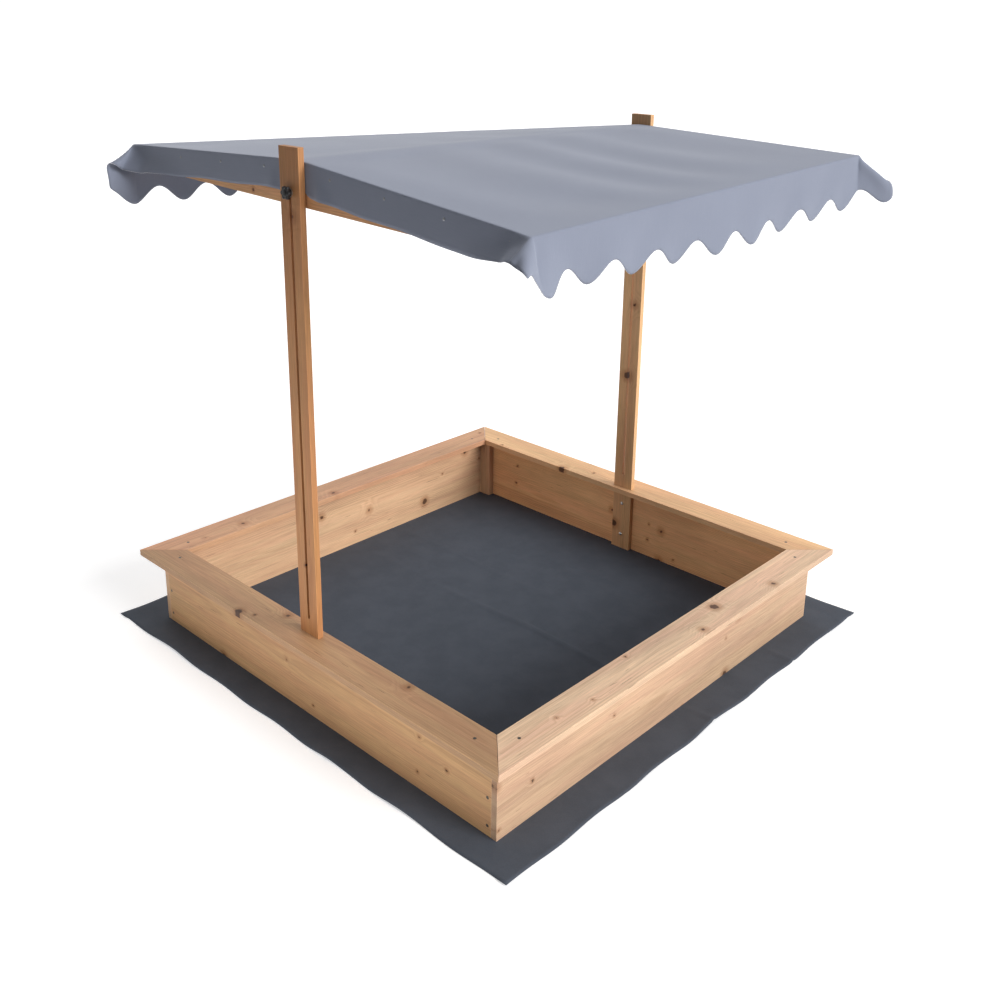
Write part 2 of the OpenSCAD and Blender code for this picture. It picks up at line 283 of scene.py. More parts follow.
woodLook = {
    "yellow": (0.680, 0.445, 0.262),
    "pink": (0.655, 0.395, 0.240),
    "late": (0.400, 0.200, 0.095),
    "knot": (0.075, 0.028, 0.012),
    "halo": (0.360, 0.150, 0.058),
    "crack": (0.120, 0.050, 0.022),
    "knotShare": 0.92,
    "haloShare": 0.55,
    "crackShare": 0.75,
    "crackNearKnots": 0.10,
    "crackBand": (0.71, 0.77),
    "pinkBand": (0.35, 0.65),
    "seedStep": 3.7,
    "ringSpacing": 0.0030,
    "ringContrast": 0.40,
    "ringRise": (0.25, 0.85),
    "ringFall": (0.88, 1.0),
    "ringClear": (0.35, 0.70),
    "ringFaintest": 0.25,
    "ringPush": 0.034,
    "ringPushThin": 0.6,
    "fibre": 0.46,
    "streak": 0.13,
    "patch": 0.42,
    "endGrain": 0.95,
    # The next two lines paint a highlight: how much lighter the colour is along the board's edges, and over
    # what band of distance
    "edgeHighlight": 1.16,
    "edgeHighlightBand": (0.0006, 0.0018),
    "facingBand": (0.80, 0.95),
    "roughness": 0.58,
    "lateGloss": 0.12,
    "specular": 0.4,
    "reliefStrength": 0.30,
    "reliefDepth": 0.0007,
    "edgeRadius": 0.0012,
    "edgeAngle": 40,
    "flatAngle": 1,
    "weldGap": 0.00002,
}

# Each pattern in the wood is noise pulled out along the grain: how often it changes in a metre
# (along, wide, thin), then how fine and how rough it is
grainPatterns = {
    "slow": {"stretch": (1.4, 6, 6)},
    "strength": {"stretch": (0.9, 22, 22)},
    "fibre": {"stretch": (16, 900, 900), "detail": 3.0, "roughness": 0.65},
    "streak": {"stretch": (3, 120, 120), "detail": 3.0, "roughness": 0.6},
    "patch": {"stretch": (1.6, 11, 11), "detail": 4.0, "roughness": 0.6},
    "tint": {"stretch": (1.3, 17, 17), "scale": 1.7, "detail": 3.0, "roughness": 0.6},
    "crack": {"stretch": (14, 330, 330)},
}

# Each layer of knots: cells per metre, radius as a share of a cell, the share of cells without one,
# and how many rings it pushes aside
knotLayers = (
    {"cells": 5.0, "radius": 0.052, "without": 0.38, "bend": 2.4},
    {"cells": 12.0, "radius": 0.040, "without": 0.84, "bend": 0.9},
)

knotLook = {
    "roughScale": 90.0,
    "wander": (0.010, 0.007, 0),
    "smallest": 0.45,
    "knotEdge": (-0.014, 0.006),
    "haloEdge": (-0.004, 0.085),
    "bendEdge": (0.0, 0.20),
}


def grainPattern(tree, grain, name):
    look = {"scale": 1.0, "detail": 2.0, "roughness": 0.5, **grainPatterns[name]}
    stretched = scaled(tree, grain, look["stretch"])
    return noise(tree, stretched, look["scale"], look["detail"], look["roughness"])[0]


# A knot sits at the middle of a chosen cell of a flat pattern of cells; returned are how much of a
# point is knot, halo round it, and bent grain further out
def knots(tree, grain, layer):
    offset = vectorCalc(tree, "SUBTRACT", noise(tree, grain, knotLook["roughScale"])[1], (0.5, 0.5, 0.5))
    place = vectorCalc(tree, "ADD", grain, scaled(tree, offset, knotLook["wander"]))
    cellInputs = {"Vector": place, "Scale": layer["cells"]}
    cells = add(tree, "ShaderNodeTexVoronoi", {"voronoi_dimensions": "2D"}, cellInputs).outputs
    pick = add(tree, "ShaderNodeSeparateColor", {}, {0: cells["Color"]}).outputs
    size = ramp(tree, pick[1], 0.0, 1.0, layer["radius"] * knotLook["smallest"], layer["radius"])
    near = minus(tree, cells["Distance"], size)
    chosen = calc(tree, "GREATER_THAN", pick[0], layer["without"])
    return [times(tree, ramp(tree, near, *knotLook[edge], 1, 0), chosen)
            for edge in ("knotEdge", "haloEdge", "bendEdge")]


# Growth rings are bands of equal distance from a pith line that runs beside the board, pushed about
# by slow noise along the grain and bent round the knots; late wood is the darker end of each band
def lateWood(tree, grain, across, deep, pith, bent):
    push = times(tree, minus(tree, grainPattern(tree, grain, "slow"), 0.5), woodLook["ringPush"])
    offWide = plus(tree, minus(tree, across, pith[0]), push)
    offThin = plus(tree, minus(tree, deep, pith[1]), times(tree, push, woodLook["ringPushThin"]))
    radius = calc(tree, "SQRT", plus(tree, times(tree, offWide, offWide), times(tree, offThin, offThin)))
    rings = plus(tree, calc(tree, "DIVIDE", radius, woodLook["ringSpacing"]), bent)
    phase = calc(tree, "FRACT", rings)
    rise = ramp(tree, phase, *woodLook["ringRise"], 0, 1)
    fall = ramp(tree, phase, *woodLook["ringFall"], 1, 0)
    strength = grainPattern(tree, grain, "strength")
    strength = ramp(tree, strength, *woodLook["ringClear"], woodLook["ringFaintest"], 1.0)
    return times(tree, rise, fall, strength, woodLook["ringContrast"])


# A point lies on an edge of the board when two of its three distances from the faces are small, so the
# second smallest of them tells how near the edge is. The colour is lightened there as a painted highlight
def paintedEdgeHighlight(tree, axes, low, high):
    inset = []
    for axis, lowest, highest in zip("XYZ", low, high):
        middle = (lowest + highest) / 2
        away = calc(tree, "ABSOLUTE", minus(tree, axes[axis], middle))
        inset.append(minus(tree, highest - middle, away))
    less = calc(tree, "MINIMUM", inset[0], inset[1])
    more = calc(tree, "MAXIMUM", inset[0], inset[1])
    second = calc(tree, "MAXIMUM", less, calc(tree, "MINIMUM", more, inset[2]))
    return ramp(tree, second, *woodLook["edgeHighlightBand"], woodLook["edgeHighlight"], 1.0)


# A factor for the faces that look along one axis, and 1 for the others
def facingShade(tree, normal, axis, factor):
    facing = calc(tree, "ABSOLUTE", splitAxes(tree, normal)[axis])
    return ramp(tree, facing, *woodLook["facingBand"], 1.0, factor)


def woodMaterial(name, board):
    material, tree, shader = newMaterial(name + "_wood")
    low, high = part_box(name)
    middle = {axis: (low[k] + high[k]) / 2 for k, axis in enumerate("XYZ")}
    wide = board["wide"]
    thin = ({"X", "Y", "Z"} - {board["grain"], wide}).pop()
    coords = texturePlaces(tree)
    axes = splitAxes(tree, coords["Object"])
    along = plus(tree, axes[board["grain"]], board["seed"] * woodLook["seedStep"])
    across = minus(tree, axes[wide], middle[wide])
    deep = minus(tree, axes[thin], middle[thin])
    grain = add(tree, "ShaderNodeCombineXYZ", {}, {0: along, 1: across, 2: deep}).outputs[0]

    big, small = (knots(tree, grain, layer) for layer in knotLayers)
    knot, halo = (calc(tree, "MAXIMUM", big[k], small[k]) for k in (0, 1))
    bends = [times(tree, found[2], layer["bend"]) for found, layer in zip((big, small), knotLayers)]
    bent = plus(tree, *bends)
    late = lateWood(tree, grain, across, deep, board["pith"], bent)
    crack = plus(tree, grainPattern(tree, grain, "crack"), times(tree, halo, woodLook["crackNearKnots"]))
    crack = ramp(tree, crack, *woodLook["crackBand"], 0, woodLook["crackShare"])

    pinkness = ramp(tree, grainPattern(tree, grain, "tint"), *woodLook["pinkBand"], 0, 1)
    base = mixColour(tree, pinkness, colour(woodLook["yellow"]), colour(woodLook["pink"]))
    base = mixColour(tree, late, base, colour(woodLook["late"]))
    base = mixColour(tree, crack, base, colour(woodLook["crack"]))
    base = mixColour(tree, times(tree, halo, woodLook["haloShare"]), base, colour(woodLook["halo"]))
    base = mixColour(tree, times(tree, knot, woodLook["knotShare"]), base, colour(woodLook["knot"]))

    marks = {key: grainPattern(tree, grain, key) for key in ("fibre", "streak", "patch")}
    shade = 1.0
    for key, mark in marks.items():
        shade = plus(tree, shade, times(tree, minus(tree, mark, 0.5), woodLook[key] * 2))
    # The board's tone and side factor here, and its tint below, paint light and shade into the colour besides
    # the board's own tone
    shade = times(tree, shade, paintedEdgeHighlight(tree, axes, low, high), board["toneAndPaintedLight"],
                  facingShade(tree, coords["Normal"], board["grain"], woodLook["endGrain"]),
                  facingShade(tree, coords["Normal"], wide, board.get("side", 1.0)))
    base = add(tree, "ShaderNodeVectorMath", {"operation": "SCALE"}, {0: base, "Scale": shade}).outputs[0]
    base = scaled(tree, base, board.get("tint", (1, 1, 1)))
    tree.links.new(base, shader.inputs["Base Color"])
    rough = ramp(tree, late, 0, 0.5, woodLook["roughness"], woodLook["roughness"] - woodLook["lateGloss"])
    tree.links.new(rough, shader.inputs["Roughness"])
    shader.inputs["Specular IOR Level"].default_value = woodLook["specular"]
    relief = plus(tree, marks["fibre"], late, marks["streak"])
    bump(tree, shader, relief, woodLook["reliefStrength"], woodLook["reliefDepth"])
    return material


for name, board in boards.items():
    obj = nodes[name]
    dress(obj, woodMaterial(name, board))
    obj.modifiers.new("weld", "WELD").merge_threshold = woodLook["weldGap"]
    flatten = obj.modifiers.new("flatten", "DECIMATE")
    flatten.decimate_type = "DISSOLVE"
    flatten.angle_limit = math.radians(woodLook["flatAngle"])
    edges = obj.modifiers.new("edges", "BEVEL")
    edges.width = woodLook["edgeRadius"]
    edges.segments = 2
    edges.limit_method = "ANGLE"
    edges.angle_limit = math.radians(woodLook["edgeAngle"])
    edges.use_clamp_overlap = True
    obj.data.shade_smooth()
    normals = obj.modifiers.new("normals", "WEIGHTED_NORMAL")
    normals.keep_sharp = True
print("boards dressed")

metals = {
    "bright_steel": {
        "nodes": ["post_screws", "front_pivot_bolt", "back_pivot_bolt", "front_washers", "back_washers"],
        "slot": "steel", "colour": (0.80, 0.80, 0.78), "roughness": 0.32,
    },
    "grey_steel": {
        "nodes": ["fabric_tacks"],
        "slot": "steel", "colour": (0.34, 0.35, 0.37), "roughness": 0.40,
    },
    "dark_steel": {
        "nodes": ["wall_screws", "seat_screws", "frame_screws"],
        "slot": "steel", "colour": (0.16, 0.15, 0.13), "roughness": 0.45,
    },
    "brass": {
        "nodes": ["front_knob_insert", "back_knob_insert"],
        "slot": "insert_brass", "colour": (0.72, 0.50, 0.20), "roughness": 0.32,
    },
}

metalWear = {
    "scale": 400.0,
    "darkest": 0.7,
    "smoother": 0.08,
    "rougher": 0.12,
}


def metalMaterial(name, look):
    material, tree, shader = newMaterial(name)
    wear = noise(tree, texturePlaces(tree)["Object"], metalWear["scale"], 3.0)[0]
    darker = tuple(channel * metalWear["darkest"] for channel in look["colour"])
    base = mixColour(tree, wear, colour(darker), colour(look["colour"]))
    tree.links.new(base, shader.inputs["Base Color"])
    smooth = look["roughness"] - metalWear["smoother"]
    rough = look["roughness"] + metalWear["rougher"]
    tree.links.new(ramp(tree, wear, 0.2, 0.8, smooth, rough), shader.inputs["Roughness"])
    shader.inputs["Metallic"].default_value = 1.0
    return material


for name, look in metals.items():
    material = metalMaterial(name, look)
    for node in look["nodes"]:
        dress(nodes[node], material)
        nodes[node].data.shade_smooth()
        nodes[node].modifiers.new("normals", "WEIGHTED_NORMAL")
print("metal dressed")

# The profile is a list of (share of the rim, height above the base) pairs; inside starFrom the
# knob is round, and it turns into a star over the next starEase of the rim
knob = {
    "reach": 0.0135,
    "waist": 0.0098,
    "lobes": 6,
    "lobeShape": 0.75,
    "turns": 96,
    "profile": ((0.30, 0.0), (0.60, 0.0), (0.63, 0.0006), (0.63, 0.0026), (0.90, 0.0030), (0.97, 0.0038),
                (1.0, 0.0052), (1.0, 0.0080), (0.985, 0.0093), (0.94, 0.0103), (0.86, 0.0109),
                (0.66, 0.0111), (0.60, 0.0110), (0.57, 0.0103), (0.53, 0.0103), (0.50, 0.0112),
                (0.44, 0.0119), (0.24, 0.0120), (0.02, 0.0120)),
    "starFrom": 0.80,
    "starEase": 0.15,
    "colour": (0.012, 0.012, 0.013),
    "grainScale": 900.0,
    "roughness": (0.34, 0.5),
}

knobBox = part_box("front_knob")
knobBase = -knobBox[1][1]
pivotZ = (knobBox[0][2] + knobBox[1][2]) / 2


# A star knob: at angle a its rim lies between the waist and the reach as a rounded cosine of six
# times a, and the profile is turned round the pivot's axis, its faces looking outwards on each side
def knobObject(name, side):
    turns = knob["turns"]
    angle = np.arange(turns) * 2 * np.pi / turns
    wave = 0.5 + 0.5 * np.cos(knob["lobes"] * angle)
    star = knob["waist"] + (knob["reach"] - knob["waist"]) * wave ** knob["lobeShape"]
    share, height = np.array(knob["profile"]).T[..., None]
    plain = np.clip((knob["starFrom"] - share) / knob["starEase"], 0, 1)
    radius = share * (star * (1 - plain) + knob["reach"] * plain)
    outwards = np.broadcast_to(side * (knobBase + height), radius.shape)
    points = np.stack([radius * np.cos(angle), outwards, pivotZ + radius * np.sin(angle)], -1)
    rings = len(knob["profile"])
    ring, here = (part.ravel() for part in np.meshgrid(np.arange(rings - 1), np.arange(turns), indexing="ij"))
    after = (here + 1) % turns
    quads = np.stack([ring * turns + here, (ring + 1) * turns + here,
                      (ring + 1) * turns + after, ring * turns + after], 1)
    base = np.arange(turns)
    cap = base[::-1] + (rings - 1) * turns
    faces = [*quads, base, cap]
    return meshObject(name, points, [(face if side < 0 else face[::-1]).tolist() for face in faces])


knobLook, tree, shader = newMaterial("knob_black")
knobGrain = noise(tree, texturePlaces(tree)["Object"], knob["grainScale"])[0]
shader.inputs["Base Color"].default_value = colour(knob["colour"])
tree.links.new(ramp(tree, knobGrain, 0.2, 0.8, *knob["roughness"]), shader.inputs["Roughness"])
bump(tree, shader, knobGrain, 0.1, 0.0002)
for side, end in ((-1, "front"), (1, "back")):
    star = knobObject(end + "_star_knob", side)
    dress(star, knobLook)
    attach(star, end + "_star")
    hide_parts(end + "_knob")
print("knobs made")

# The ground sheet. moved says how far each corner lies from its place in the plain square. A crease
# is a line along X at some Y: its height, and how much of it shows inside and outside the walls
ground = {
    "moved": ((-0.010, 0.015), (-0.003, 0.023), (-0.006, 0.011), (-0.006, 0.018)),
    "steps": 160,
    "thick": 0.0009,
    "lift": 0.0045,
    "wallGap": 0.002,
    "waveRamp": 0.075,
    "innerMargin": 0.020,
    "innerRamp": 0.05,
    "creases": (
        {"y": 0.025, "height": 0.0050, "inside": 1.0, "outside": 1.0},
        {"y": 0.176, "height": 0.0036, "inside": 0.45, "outside": 1.0},
        {"y": 0.352, "height": 0.0036, "inside": 0.55, "outside": 1.0},
        {"y": -0.298, "height": 0.0040, "inside": 0.15, "outside": 1.0},
    ),
    "creaseWidth": 0.006,
    "lumps": 0.0006,
    "edgeSwing": 0.002,
    "edgeFrom": 0.04,
    "tuckZ": 0.0004,
    "colour": (0.070, 0.081, 0.102),
    "dark": (0.057, 0.067, 0.085),
    "fuzzLight": 1.7,
}

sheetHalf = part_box("ground_sheet")[1][0]
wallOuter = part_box("right_wall")[1][0]


# The sheet is a square of four corners, each moved a little. Its height is a sum of waves round the
# free edge that grow away from the walls, thin ridges along X, and faint lumps inside the box; under
# the walls it is flat. Each side has its own phase, so that no two sides wave alike
def groundSheet():
    n = ground["steps"] + 1
    u, v = np.meshgrid(np.linspace(0, 1, n), np.linspace(0, 1, n))
    square = ((-1, -1), (1, -1), (1, 1), (-1, 1))
    corners = [np.array(way) * sheetHalf + np.array(by) for way, by in zip(square, ground["moved"])]
    shares = ((1 - u) * (1 - v), u * (1 - v), u * v, (1 - u) * v)
    flatXY = sum(share[..., None] * corner for share, corner in zip(shares, corners))
    x, y = flatXY[..., 0], flatXY[..., 1]
    reach = np.maximum(np.abs(x), np.abs(y))
    outside = np.clip((reach - wallOuter - ground["wallGap"]) / ground["waveRamp"], 0, 1)
    inside = np.clip((wallOuter - ground["innerMargin"] - reach) / ground["innerRamp"], 0, 1)
    alongY = np.abs(x) > np.abs(y)
    run = np.where(alongY, y, x)
    phase = np.where(alongY, np.sign(x) * 1.7, np.sign(y) * 0.6)
    waves = 0.5 + 0.5 * np.sin(run * 21 + 2.2 * np.sin(run * 5.3 + phase) + phase * 3.1)
    waves = waves ** 2 * (0.55 + 0.45 * np.sin(run * 8.3 + phase))
    z = ground["lift"] * waves * outside ** 1.3
    for crease in ground["creases"]:
        line = crease["y"] + 0.006 * np.sin(x * 5.1 + crease["y"] * 9) + 0.003 * np.sin(x * 13)
        fade = 0.6 + 0.4 * np.sin(x * 4.2 + crease["y"] * 17)
        ridge = np.exp(-np.abs((y - line) / ground["creaseWidth"]) ** 1.4)
        z += crease["height"] * fade * ridge * (inside * crease["inside"] + outside * crease["outside"])
    z += ground["lumps"] * inside * (np.sin(x * 17 + 3 * np.sin(y * 4)) * np.sin(y * 13) + 1)
    swing = ground["edgeSwing"] * outside * np.sin(run * 30 + phase * 2)
    freeEdge = np.abs(flatXY) > wallOuter + ground["edgeFrom"]
    pushed = flatXY + swing[..., None] * np.sign(flatXY) * freeEdge
    level = z + ground["tuckZ"] + ground["thick"] / 2
    return np.concatenate([pushed, level[..., None]], 2), flatXY


groundPoints, groundFlat = groundSheet()
sheet = gridObject("ground_cloth", groundPoints, groundFlat)
thicken = sheet.modifiers.new("thickness", "SOLIDIFY")
thicken.thickness = ground["thick"]
thicken.offset = 0
sheetLook, tree, shader = newMaterial("ground_weave")
place = texturePlaces(tree)["Object"]
fuzz = noise(tree, place, 900.0, 3.0, 0.7)[0]
blotch = noise(tree, place, 14.0, 4.0, 0.6)[0]
fuzzColour = colour(tuple(channel * ground["fuzzLight"] for channel in ground["colour"]))
base = mixColour(tree, ramp(tree, blotch, 0.3, 0.7, 0, 1), colour(ground["dark"]), colour(ground["colour"]))
base = mixColour(tree, ramp(tree, fuzz, 0.3, 0.7, 0.0, 0.25), base, fuzzColour)
tree.links.new(base, shader.inputs["Base Color"])
shader.inputs["Roughness"].default_value = 0.85
shader.inputs["Specular IOR Level"].default_value = 0.25
bump(tree, shader, fuzz, 0.35, 0.0006)
dress(sheet, sheetLook)
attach(sheet, "root")
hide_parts("ground_sheet")
print("ground sheet laid")

# The canopy cloth, in metres. The flat cloth runs along s (left to right) and t (front to back); past
# the end bars it hangs as scalloped ends, past the rails as flaps. An end's middle gives the depth
# of its scalloped edge's mid line at some places of t, and curl how far the tips there swing
# inwards. ridge, leftEnd and rightEnd are the front rail's top above the pivot
cloth = {
    "overEnd": 0.0035,
    "overRail": 0.0015,
    "flapFront": 0.0640,
    "flapBack": 0.0860,
    "topSteps": (84, 76),
    "hangSteps": 9,
    "flapSteps": 5,
    "fold": 0.003,
    "foldShare": 0.03,
    "thick": 0.0013,
    "pitch": 0.1234,
    "swing": 0.0195,
    "left": {
        "middle": ((-0.6, 0.1115), (0.50, 0.1115), (0.57, 0.092), (0.62, 0.080)),
        "valley": -0.477,
        "curl": ((-0.5, 0.002), (0.5, 0.004)),
    },
    "right": {
        "middle": ((-0.595, 0.066), (-0.545, 0.080), (-0.43, 0.083), (-0.29, 0.092), (-0.165, 0.097),
                   (-0.04, 0.102), (0.088, 0.1040), (0.20, 0.102), (0.32, 0.099), (0.44, 0.0965),
                   (0.537, 0.093), (0.614, 0.090)),
        "valley": -0.450,
        "curl": ((-0.53, 0.0), (-0.40, 0.013), (-0.14, 0.007), (0.0, 0.002), (0.12, -0.003),
                 (0.23, 0.005), (0.36, 0.010), (0.53, 0.010)),
    },
    "ridge": 0.0592,
    "leftEnd": 0.0365,
    "rightEnd": -0.0023,
    "ridgeShift": 0.002,
    "inset": (0.9985, 0.9987),
    "rippleHeight": 0.0030,
    "tipDepth": 0.12,
    "tacked": 0.024,
    "tackedEase": 0.05,
}

# What is cut from the flaps: a notch at the pivot, an uneven edge, and a little less flap on the left
# and near the front right corner
flapCut = {
    "pivot": 0.022,
    "pivotReach": 0.034,
    "pivotEase": 0.016,
    "uneven": 0.0012,
    "left": 0.007,
    "leftEase": 0.08,
    "cornerMargin": 0.02,
    "cornerEase": 0.12,
    "right": 0.009,
    "rightFrom": 0.46,
    "rightEase": 0.10,
}

# How the cloth settles. The flaps are held to the rails down to heldFlap, over heldSpan each way, and
# wholly within heldPivot of the pivot
draping = {
    "gravity": 0.00010,
    "pull": 0.045,
    "keptSpeed": 0.90,
    "rounds": 120,
    "passes": 10,
    "diagonal": 0.55,
    "bending": 0.10,
    "heldFlap": 0.027,
    "heldSpan": 0.55,
    "heldPivot": 0.062,
    "railGap": 0.0006,
}

# For each corner: the way the end hangs there, the way of the fold that the ear stands out with, the
# angle at which that fold leaves the frame's corner (0 along the end's own hang, 90 along the
# flap's), the way the flap hangs there, and over what length each turns away from straight down
ears = {
    (-1, -1): {"end": (0.0, -0.04, -1.0), "fold": (-0.01, -0.894, -0.447), "angle": 63.4,
               "flap": (0.08, -0.60, -0.80), "flapTurn": 0.24, "endTurn": 0.10},
    (1, 1): {"end": (0.06, 0.0, -1.0), "fold": (0.50, 0.80, -0.33), "angle": 65,
             "flap": (0.16, 0.36, -0.92), "flapTurn": 0.16, "endTurn": 0.08},
    (1, -1): {"end": (0.29, 0.0, -0.96), "fold": (0.45, -0.62, -0.64), "angle": 44,
              "flap": (-0.10, -0.80, -0.58), "flapTurn": 0.16, "endTurn": 0.10},
    (-1, 1): {"end": (-0.26, 0.0, -0.965), "fold": (-0.50, 0.60, -0.62), "angle": 46,
              "flap": (0.06, 0.66, -0.75), "flapTurn": 0.16, "endTurn": 0.10},
}

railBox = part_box("front_rail")
halfTop = railBox[1][0] + cloth["overEnd"]
halfWide = -railBox[0][1] + cloth["overRail"]


# Height of the front rail's top: two straight slopes down from its ridge
def railTop(x):
    share = np.abs(x - cloth["ridgeShift"]) / halfTop
    ends = np.where(x < cloth["ridgeShift"], cloth["leftEnd"], cloth["rightEnd"])
    return cloth["ridge"] + (ends - cloth["ridge"]) * share


# Height of the cloth over the rails: the back rail is the front one turned half round, and the cloth
# runs straight from one to the other
def clothTop(x, y):
    share = np.clip((y + halfWide) / (2 * halfWide), 0, 1)
    return pivotZ + (1 - share) * railTop(x) + share * railTop(-x)


def unit(v):
    return v / np.linalg.norm(v, axis=-1, keepdims=True)


def ease(x):
    x = np.clip(x, 0, 1)
    return x * x * (3 - 2 * x)


# How much shorter the flap is at s: a smooth notch at the pivot, a slow wave, and eased steps
def flapShort(s, t):
    short = flapCut["pivot"] * ease((flapCut["pivotReach"] - np.abs(s)) / flapCut["pivotEase"])
    short = short + flapCut["uneven"] * np.sin(s * 31 + np.sign(t) * 1.3)
    fromCorner = ease((halfTop - flapCut["cornerMargin"] - np.abs(s)) / flapCut["cornerEase"])
    short = short + flapCut["left"] * ease(-s / flapCut["leftEase"]) * fromCorner
    return short + flapCut["right"] * ease((s - flapCut["rightFrom"]) / flapCut["rightEase"]) * (t < 0)


# The flat pattern: rows of equal steps over the top and the hanging parts, closer beside each fold.
# A row past an end bar is a share of that end's depth, a mid line less a cosine of the pitch, and a
# column past a rail is a share of the flap's depth there
def clothGrid():
    fold, hang, flapSteps = cloth["fold"], cloth["hangSteps"], cloth["flapSteps"]
    topS, topT = cloth["topSteps"]
    front = -halfWide - np.linspace(cloth["flapFront"], 0, flapSteps + 1)[:-1]
    rear = halfWide + np.linspace(0, cloth["flapBack"], flapSteps + 2)[1:]
    beside = [-halfWide - fold, -halfWide + fold, halfWide - fold, halfWide + fold]
    t = np.sort(np.concatenate([front, np.linspace(-halfWide, halfWide, topT + 1), rear, beside]))
    nearFold = 1 - fold / halfTop
    pastFold = 1 + cloth["foldShare"]
    beside = [-pastFold, -nearFold, nearFold, pastFold]
    left = np.linspace(-2, -1, hang + 1)[:-1]
    right = np.linspace(1, 2, hang + 1)[1:]
    share = np.sort(np.concatenate([left, np.linspace(-1, 1, topS + 1), right, beside]))
    share, t = np.meshgrid(share, t, indexing="ij")
    drop = {}
    for key in ("left", "right"):
        end = cloth[key]
        scallop = np.cos(2 * np.pi * (t - end["valley"]) / cloth["pitch"])
        drop[key] = np.interp(t, *zip(*end["middle"])) - cloth["swing"] * scallop
    past = np.abs(share) - 1
    depth = np.where(share < 0, drop["left"], drop["right"])
    s = np.where(past > 0, np.sign(share) * (halfTop + past * depth), share * halfTop)
    flap = np.where(t < 0, cloth["flapFront"], cloth["flapBack"])
    over = np.abs(t) - halfWide
    cut = np.sign(t) * (halfWide + over * (1 - flapShort(s, t) / flap))
    return s, np.where(over > 0, cut, t)


# Slack in the top: two crossed waves, none at the edges or over the ridge
def topRipple(x, y):
    edge = np.minimum(1 - np.abs(x) / halfTop, (1 - np.abs(y) / halfWide) * 0.9)
    clear = ease(edge * 5) * ease((np.abs(x) - 0.012) / 0.06)
    strong = 0.6 + 0.4 * np.sin(x * 5.3 + y * 3)
    wave = np.sin(y * 26 + 2.2 * np.sin(x * 4.1 + 0.6) + 1.1 * np.sin(y * 7)) * strong
    wave = wave + 0.5 * np.sin(x * 11 + 2.0 * np.sin(y * 5))
    return cloth["rippleHeight"] * wave * clear


# Where the cloth is first laid: the top on the frame, flaps and ends turned down, and at each corner
# an ear that fans out from the frame's corner: from the way the end hangs, out to the ear's fold
# and back to the way the flap hangs. The flap lies on the rail down to its tacks
def clothGuess(s, t):
    pastEnd = np.maximum(np.abs(s) - halfTop, 0)
    pastRail = np.maximum(np.abs(t) - halfWide, 0)
    x = np.clip(s, -halfTop, halfTop) * cloth["inset"][0]
    y = np.clip(t, -halfWide, halfWide) * cloth["inset"][1]
    top = np.stack([x, y, clothTop(x, y) + topRipple(x, y)], -1)
    down = np.array([0.0, 0.0, -1.0])
    a, b = pastEnd[..., None], pastRail[..., None]
    angle = np.degrees(np.arctan2(b, a + 1e-9))
    tackedLength = cloth["tacked"] * ease((halfTop - np.abs(s)) / cloth["tackedEase"])
    tacked = np.minimum(b, tackedLength[..., None])
    hang = np.zeros_like(top)
    for (sx, sy), ear in ears.items():
        flapWay, endWay, foldWay = (unit(np.array(ear[key])) for key in ("flap", "end", "fold"))
        nearEnd = ease(1 - (halfTop - np.abs(s)) / ear["flapTurn"])[..., None]
        nearRail = ease(1 - (halfWide - np.abs(t)) / ear["endTurn"])[..., None]
        flapDown = unit(down * (1 - nearEnd) + flapWay * nearEnd)
        endDown = unit(down * (1 - nearRail) + endWay * nearRail)
        out = angle / ear["angle"]
        home = (angle - ear["angle"]) / (90 - ear["angle"])
        fan = np.where(out < 1, endWay * (1 - out) + foldWay * out, foldWay * (1 - home) + flapWay * home)
        straight = np.where(b > 0, down * tacked + flapDown * (b - tacked), endDown * a)
        way = np.where((a > 0) & (b > 0), unit(fan) * np.hypot(a, b), straight)
        here = ((s > 0) == (sx > 0)) & ((t > 0) == (sy > 0))
        hang = np.where(here[..., None], way, hang)
    for sign, key in ((-1, "left"), (1, "right")):
        inPart = (np.sign(s) == sign) & (pastRail == 0)
        hang[..., 0] += np.where(inPart, sign * endSwing(pastEnd, t, cloth[key], sign), 0)
    return top + hang


# How far a hanging end stands out: slow waves that grow with depth, less a curl that grows with the
# depth's cube and is strongest at the tips
def endSwing(pastEnd, t, end, sign):
    depth = pastEnd / cloth["tipDepth"]
    lobe = 0.5 - 0.5 * np.cos(2 * np.pi * (t - end["valley"]) / cloth["pitch"])
    curl = np.interp(t, *zip(*end["curl"])) * lobe * depth ** 3
    wave = depth * (0.0030 * np.sin(t * 17 + sign) + 0.0020 * np.sin(t * 38 + 2.1 * sign))
    return wave - curl


# The lengths to keep between each point and the one di rows and dj columns on, as arrays of (first,
# second, length, share of the first, share of the second). Rows or columns are taken in
# alternate blocks, so that no point is in one set twice
def wovenLinks(flat, weight, di, dj, stiff):
    n, m = flat.shape[:2]
    links = []
    for start in (0, 1):
        if di:
            rows = np.arange(n - di)
            rows = rows[(rows // di) % 2 == start]
            cols = np.arange(max(0, -dj), m - max(0, dj))
        else:
            rows = np.arange(n)
            cols = np.arange(m - dj)
            cols = cols[(cols // dj) % 2 == start]
        i, j = (part.ravel() for part in np.meshgrid(rows, cols, indexing="ij"))
        free = (weight[i, j] + weight[i + di, j + dj])[:, 0] > 0
        i, j = i[free], j[free]
        first, second = weight[i, j], weight[i + di, j + dj]
        length = np.linalg.norm(flat[i + di, j + dj] - flat[i, j], axis=-1, keepdims=True)
        both = first + second
        links.append((i * m + j, (i + di) * m + j + dj, length, stiff * first / both, stiff * second / both))
    return links


